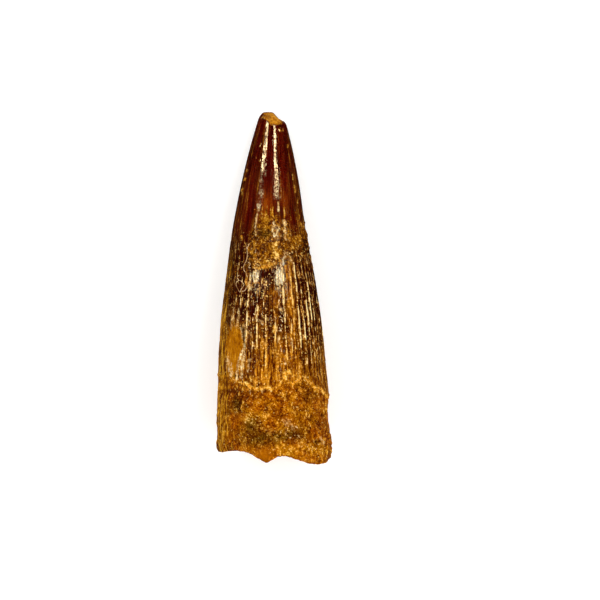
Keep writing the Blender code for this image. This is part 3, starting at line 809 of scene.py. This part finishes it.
class Nodes:
    """Adds nodes to a tree with short calls, which take sockets, numbers or colours and give a socket."""

    def __init__(self, tree):
        self.tree = tree

    def add(self, kind, inputs, output=0, **settings):
        node = self.tree.nodes.new("ShaderNode" + kind)
        for key, value in settings.items():
            setattr(node, key, value)
        for socket, value in inputs.items():
            if isinstance(value, bpy.types.NodeSocket):
                self.tree.links.new(value, node.inputs[socket])
            else:
                node.inputs[socket].default_value = value
        return node.outputs[output]

    def masks(self, names):
        """The values of the mesh's attributes with these names."""
        return [self.add("Attribute", {}, "Fac", attribute_name=name) for name in names.split()]

    def fibre(self, across, along):
        """Places along the enamel's fibres, with so many marks to a millimetre across and along them."""
        place = self.add("Attribute", {}, "Vector", attribute_name="fibre")
        return self.add("VectorMath", {0: place, 1: (across, along, across)}, operation="MULTIPLY")

    def place(self, size, warp=0.0):
        """Places on the tooth, for marks of this size in millimetres, bent by noise where warp is given."""
        at = self.add("TexCoord", {}, "Object")
        at = self.add("VectorMath", {0: at, 1: (1 / (size * MM),) * 3}, operation="MULTIPLY")
        if warp:
            bend = self.add("TexNoise", {"Vector": at, "Scale": 0.6}, "Color")
            at = self.add("VectorMath", {0: bend, 1: (warp,) * 3, 2: at}, operation="MULTIPLY_ADD")
        return at

    def noise(self, vector, detail=2.0, roughness=0.55, low=0.35, high=0.65):
        """Noise spread over 0 to 1: what is below low gives 0, and what is above high gives 1."""
        inputs = {"Vector": vector, "Scale": 1.0, "Detail": detail, "Roughness": roughness}
        return self.spread(self.add("TexNoise", inputs, "Fac"), low, high)

    def cells(self, vector):
        """A random tone from 0 to 1 for each of a crowd of cells, and the distance from the cell's middle."""
        distance = self.add("TexVoronoi", {"Vector": vector, "Scale": 1.0}, "Distance")
        return self.add("SeparateColor", {0: distance.node.outputs["Color"]}), distance

    def curls(self, vector, half_width):
        """Thin curling lines: 1 where noise crosses its middle value, and 0 away from there."""
        inputs = {"Vector": vector, "Scale": 1.0, "Detail": 2.0, "Roughness": 0.6}
        off = self.weigh((self.add("TexNoise", inputs, "Fac"), 1.0), (1.0, -0.5))
        return self.rest(self.spread(self.math("ABSOLUTE", off), 0.0, half_width))

    def spread(self, value, low, high):
        inputs = {"Value": value, "From Min": low, "From Max": high}
        return self.add("MapRange", inputs, interpolation_type="SMOOTHSTEP")

    def blend(self, factor, a, b):
        """a where the factor is 0, b where it is 1. Numbers."""
        return self.add("MapRange", {"Value": factor, "To Min": a, "To Max": b})

    def rest(self, value):
        """What is left of 1."""
        return self.blend(value, 1.0, 0.0)

    def math(self, operation, a, b=0.0):
        return self.add("Math", {0: a, 1: b}, operation=operation, use_clamp=True)

    def times(self, *parts):
        total = parts[0]
        for part in parts[1:]:
            total = self.math("MULTIPLY", total, part)
        return total

    def weigh(self, *parts):
        """The sum of (value, weight) pairs."""
        total = 0.0
        for value, weight in parts:
            total = self.add("Math", {0: value, 1: weight, 2: total}, operation="MULTIPLY_ADD")
        return total

    def ramp(self, value, colours):
        """Colours by a value: each stop is (value, colour)."""
        result = self.add("ValToRGB", {"Fac": value}, "Color")
        elements = result.node.color_ramp.elements
        while len(elements) < len(colours):
            elements.new(0.5)
        for element, (position, colour) in zip(elements, colours):
            element.position, element.color = position, colour
        return result

    def mix(self, factor, a, b):
        """a where the factor is 0, b where it is 1. Colours."""
        return self.add("Mix", {0: factor, 6: a, 7: b}, 2, data_type="RGBA")

    def lay(self, mask, under, value, colours):
        """A ramp's colours laid over what is under them, where the mask is."""
        return self.mix(mask, under, self.ramp(value, colours))

    def bumpy(self, *bumps):
        """A normal from (height socket, height in millimetres) pairs."""
        normal = {}
        for height, depth in bumps:
            inputs = {"Height": height, "Distance": depth * MM, "Strength": 1.0}
            normal = {"Normal": self.add("Bump", inputs | normal)}
        return normal["Normal"]


class Shader(Nodes):
    """A Principled material under way. Its sockets are named with _ for a space."""

    def __init__(self, name, **constants):
        self.material = bpy.data.materials.new(name)
        self.material.use_nodes = True
        super().__init__(self.material.node_tree)
        self.sockets = self.tree.nodes["Principled BSDF"].inputs
        for socket, value in constants.items():
            self.sockets[socket.replace("_", " ")].default_value = value

    def finish(self, **results):
        """Links the results to the shader's sockets, and gives the material."""
        for socket, value in results.items():
            self.tree.links.new(value, self.sockets[socket.replace("_", " ")])
        return self.material


def tooth_material():
    """Enamel, crust, root and breaks, each laid over the one before by its mask, and a glossy coat."""
    s = Shader(
        "fossil_tooth",
        Specular_IOR_Level=0.03,
        Specular_Tint=(1.0, 0.7, 0.3, 1.0),
        Coat_IOR=1.9,
        Coat_Roughness=0.05,
    )
    enamel, crust, shade, grit, hair, streak, fill = s.masks("enamel crust shade grit hair streak fill")
    crest, swell, groove, upper, film, glow, flank = s.masks("crest swell groove upper film glow flank")
    flake, splinter, golden, stain, dark, smooth = s.masks("flake splinter golden stain dark smooth")
    broken_tip, broken_root, gloss, sparkle = s.masks("broken_tip broken_root gloss sparkle")
    rugged, spot = s.masks("rugged spot")

    thin = s.noise(s.fibre(4.0, 0.35), 2, 0.6, 0.38, 0.62)
    broad_thin = s.noise(s.fibre(2.2, 0.16), 3, 0.6, 0.38, 0.62)
    patch = s.noise(s.place(2.5), 2)
    curl = s.noise(s.place(0.6, 1.6), 3, 0.6, 0.36, 0.64)
    fleck = s.noise(s.place(0.3, 1.4), 3, 0.65, 0.38, 0.62)
    blotch = s.noise(s.fibre(2.2, 0.7), 3, 0.65, 0.46, 0.62)
    dash, _ = s.cells(s.fibre(3.4, 0.9))
    long_dash, _ = s.cells(s.fibre(2.0, 0.35))
    sand, sand_place = s.cells(s.place(0.25, 0.8))
    dust, _ = s.cells(s.place(0.2, 0.8))
    golden_curl = s.times(s.curls(s.place(0.8, 1.5), 0.05), s.spread(curl, 0.45, 0.75))
    dark_curl = s.times(s.curls(s.place(1.1, 1.0), 0.04), s.rest(s.spread(curl, 0.3, 0.6)))
    speck = s.times(s.spread(dust, 0.93, 0.96), s.blend(patch, 0.3, 1.0), s.spread(fleck, 0.3, 0.7))

    # Upper crown
    value = s.weigh((broad_thin, 0.24), (long_dash, 0.22), (streak, 0.26), (fleck, 0.1), (thin, 0.12),
                    (crest, 0.6))
    # Golden film over the red enamel: a deposit on the flanks, and painted sheen along the highlight streaks
    crown = s.lay(film, s.ramp(value, RED_ENAMEL), value, FILM_AND_SHEEN)
    crown = s.lay(s.times(glow, 0.8), crown, value, WARM_ENAMEL)

    # Lower crown: dark grooves filling with ochre towards the root, with painted shade beside each crest, and
    # pale crests, worn and partly lit by painted highlight
    # The crests' paleness is partly wear, and partly a painted highlight on each crest
    lit_crest = s.times(s.spread(crest, 0.2, 0.55), s.blend(dash, 0.6, 1.0), s.blend(fleck, 0.5, 1.0))
    # Painted shade: the colour is darkened in the grooves beside each crest
    lines = s.weigh((dash, 0.18), (thin, 0.22), (fleck, 0.14), (blotch, 0.28), (lit_crest, 0.55),
                    (swell, 0.22), (shade, 0.4), (groove, -0.3), (1.0, -0.18))
    filled = s.weigh((dash, 0.22), (thin, 0.28), (fleck, 0.14), (blotch, 0.12), (lit_crest, 0.5),
                     (swell, 0.16), (shade, 0.4), (golden_curl, 0.14), (dark_curl, -0.1), (groove, -0.36),
                     (1.0, -0.07))
    colour = s.mix(upper, s.lay(fill, s.ramp(lines, DARK_GROOVE), filled, OCHRE_GROOVE), crown)

    # The striated left flank
    striae = s.weigh((hair, 0.42), (thin, 0.36), (dash, 0.28), (curl, 0.18), (fill, 0.18), (1.0, -0.2))
    side = s.lay(fill, s.ramp(striae, DARK_FLANK), striae, FLANK)
    colour = s.mix(s.times(flank, s.blend(upper, 1.0, 0.2)), colour, side)

    # Crust
    crusty = s.weigh((curl, 0.2), (fleck, 0.22), (grit, 0.26), (sand, 0.1), (shade, 0.75),
                     (golden_curl, 0.14), (dark_curl, -0.1), (1.0, -0.31))
    colour = s.lay(s.spread(crust, 0.1, 0.8), colour, crusty, CRUST)

    # Flaked patch
    striated = s.weigh((hair, 0.25), (thin, 0.25), (dash, 0.25), (curl, 0.25))
    colour = s.lay(flake, colour, striated, FLAKE)

    # Root
    gritty = s.weigh((curl, 0.12), (fleck, 0.22), (grit, 0.22), (sand, 0.1), (shade, 0.6),
                     (golden_curl, 0.26), (dark_curl, -0.2), (1.0, -0.15))
    bone = s.lay(patch, s.ramp(gritty, ORANGE_BONE), gritty, GOLDEN_BONE)
    strip = s.weigh((striae, 1.0), (shade, 0.4), (1.0, -0.29))
    bone = s.lay(s.times(flank, 0.8), bone, strip, FLANK)
    bone = s.mix(s.times(smooth, s.rest(flank), 0.7), bone, SMOOTH_BONE)
    inside = s.math("ADD", broken_root, s.times(s.rest(enamel), s.rest(broken_tip)))
    colour = s.mix(inside, colour, bone)
    colour = s.lay(s.times(stain, 0.85), colour, gritty, OLIVE_BONE)

    # Specks, splinters, painted glints and edges
    unmarked = s.math("MAXIMUM", s.math("MAXIMUM", upper, smooth), flake)
    colour = s.mix(s.times(speck, s.rest(unmarked), 0.8), colour, PALE_SPECK)
    speckled = s.weigh((grit, 0.4), (sand, 0.2), (fleck, 0.4))
    # The pale strokes are laid here, and the gloss spots push them whiter as painted highlight
    colour = s.lay(splinter, colour, s.weigh((speckled, 1.0), (spot, 0.3)), SPLINTER_AND_GLINT)
    colour = s.lay(golden, colour, speckled, GOLDEN)
    colour = s.lay(broken_tip, colour, s.weigh((curl, 0.3), (fleck, 0.3), (patch, 0.4)), FRACTURE)
    # Painted shade in the pits, the crevice beside the flaked patch and a crease on the root
    colour = s.mix(dark, colour, PAINTED_PIT_SHADE)

    # Gloss: even on the upper crown, in glints below it
    rough = s.weigh((hair, 0.1), (inside, 0.3), (crust, 0.2), (1.0, 0.35))
    polish = s.noise(s.fibre(0.9, 0.35), 2, 0.5, 0.3, 0.5)
    breaks = s.noise(s.place(0.45), 2, 0.6, 0.2, 0.8)
    breaks = s.spread(s.weigh((breaks, 1.0), (rugged, -0.22), (spot, 0.1)), 0.2, 0.32)
    glints = s.noise(s.fibre(3.0, 1.4), 2, 0.6, 0.58, 0.63)
    shine = s.times(gloss, s.blend(polish, 0.6, 1.0), s.blend(breaks, 0.15, 1.0))
    shine = s.math("MAXIMUM", shine, s.times(glints, sparkle))
    waves = s.noise(s.place(1.1), 2, 0.5, 0.2, 0.8)
    ripples = s.noise(s.place(0.4), 1, 0.5, 0.3, 0.7)
    bumps = s.bumpy((sand_place, -0.05), (curl, 0.04), (golden_curl, 0.04), (dark_curl, -0.04))
    wavy = s.times(rugged, s.blend(spot, 0.6, 1.0))
    coat = s.bumpy((waves, 0.018), (s.times(ripples, rugged), 0.012), (s.times(thin, wavy), 0.012))
    return s.finish(Base_Color=colour, Roughness=rough, Normal=bumps, Coat_Weight=shine, Coat_Normal=coat)


def grain_material():
    """Sand, each grain with its own tone from dark brown to pale gold."""
    s = Shader("sand", Specular_IOR_Level=0.08, Roughness=0.45, Specular_Tint=(1.0, 0.8, 0.5, 1.0))
    [tone] = s.masks("tone")
    grain = s.noise(s.place(0.12), 1)
    colour = s.ramp(s.weigh((tone, 0.85), (grain, 0.15)), GRAIN)
    return s.finish(Base_Color=colour, Normal=s.bumpy((grain, 0.02)))


def rootlet_material():
    """Dry, pale root fibre."""
    s = Shader("rootlet", Specular_IOR_Level=0.3, Roughness=0.6)
    colour = s.mix(s.noise(s.place(0.5), 2), paint(0x96642C), paint(0xECCA96))
    return s.finish(Base_Color=colour, Normal=s.bumpy((s.noise(s.place(0.1), 1), 0.02)))


# How the floor looks to the camera is a little brighter than lit, as on a light table
FLOOR_COLOUR, FLOOR_GLOW = (0.8, 0.79, 0.78, 1), 0.36
FLOOR_SIZE = 40.0  # metres, far wider than any view of the tooth

# The strip lights, as (lean from straight up in degrees, half width, power, half width of its mirror image)
STRIPS = [(-33, 4.0, 5.5, 3.6), (25, 4.0, 6.5, 5.5)]
STRIP_START, STRIP_FULL = 1.3, 0.8  # where its light begins and is full, in half widths from its middle
DOME = 0.6
GLOSS = 22.0  # how bright the strips' mirror images are
LIGHT_COLOUR, GLOSS_COLOUR, SKY = (1.0, 0.985, 0.96, 1), (1.0, 0.76, 0.4, 1), 0.95


def make_floor():
    """A plain pale floor. Mirror-like parts see it black, as by a flag."""
    half = FLOOR_SIZE / 2
    mesh = bpy.data.meshes.new("floor")
    corners = [(-half, -half, 0), (half, -half, 0), (half, half, 0), (-half, half, 0)]
    mesh.from_pydata(corners, [], [(0, 1, 2, 3)])
    s = Shader("pale_floor", Roughness=0.9, Specular_IOR_Level=0.0, Emission_Color=(1, 1, 1, 1))
    path = s.add("LightPath", {}).node.outputs
    colour = s.mix(path["Is Glossy Ray"], FLOOR_COLOUR, (0, 0, 0, 1))
    glow = s.times(path["Is Camera Ray"], FLOOR_GLOW)
    mesh.materials.append(s.finish(Base_Color=colour, Emission_Strength=glow))
    new_object("floor", mesh)


def make_light():
    """A soft dome with two long strip lights that run the tooth's length, one to each side of the camera."""
    world = bpy.data.worlds.new("studio")
    bpy.context.scene.world = world
    world.use_nodes = True
    n = Nodes(world.node_tree)

    def band(off, half_width, strength):
        edge = math.radians(half_width)
        limits = {"From Min": edge * STRIP_START, "From Max": edge * STRIP_FULL}
        return n.add("MapRange", {"Value": off, "To Max": strength} | limits)

    direction = n.add("SeparateXYZ", {0: n.add("TexCoord", {}, "Generated")}).node.outputs
    lean = n.add("Math", {0: direction["X"], 1: direction["Z"]}, operation="ARCTAN2")
    lighting, mirrored = DOME, 0.0
    for middle, half_width, power, mirrored_half_width in STRIPS:
        off = n.add("Math", {0: lean, 1: math.radians(middle)}, operation="SUBTRACT")
        off = n.add("Math", {0: off}, operation="ABSOLUTE")
        lighting = n.weigh((lighting, 1.0), (band(off, half_width, power), 1.0))
        mirrored = n.weigh((mirrored, 1.0), (band(off, mirrored_half_width, GLOSS), 1.0))
    path = n.add("LightPath", {}).node.outputs
    strength = n.blend(path["Is Glossy Ray"], lighting, mirrored)
    strength = n.blend(path["Is Camera Ray"], strength, SKY)
    background = n.tree.nodes["Background"].inputs
    n.tree.links.new(strength, background["Strength"])
    n.tree.links.new(n.mix(path["Is Glossy Ray"], LIGHT_COLOUR, GLOSS_COLOUR), background["Color"])


def make_camera():
    """A long lens looking straight down, with the tip at the top of the picture."""
    picture_width = 102.3  # millimetres of the tooth's plane that the picture spans
    right_of_tooth, along = 4.52, 28.04  # where the middle of the picture falls on the tooth
    distance, height_of_plane = 2000.0, 8.0
    data = bpy.data.cameras.new("camera")
    data.sensor_width = 36.0
    data.lens = data.sensor_width * distance / picture_width
    data.clip_start, data.clip_end = 0.05, 100.0
    camera = new_object("camera", data)
    camera.location = Vector(SHIFT + [right_of_tooth, along, height_of_plane + distance]) * MM
    bpy.context.scene.camera = camera


make_camera()
for piece, material in (
    (make_tooth(), tooth_material()),
    (make_grains(), grain_material()),
    (make_rootlets(), rootlet_material()),
):
    piece.data.materials.append(material)
    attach(piece, "root")
    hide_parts("tooth")
make_floor()
make_light()
bpy.context.scene.view_settings.view_transform = "Standard"
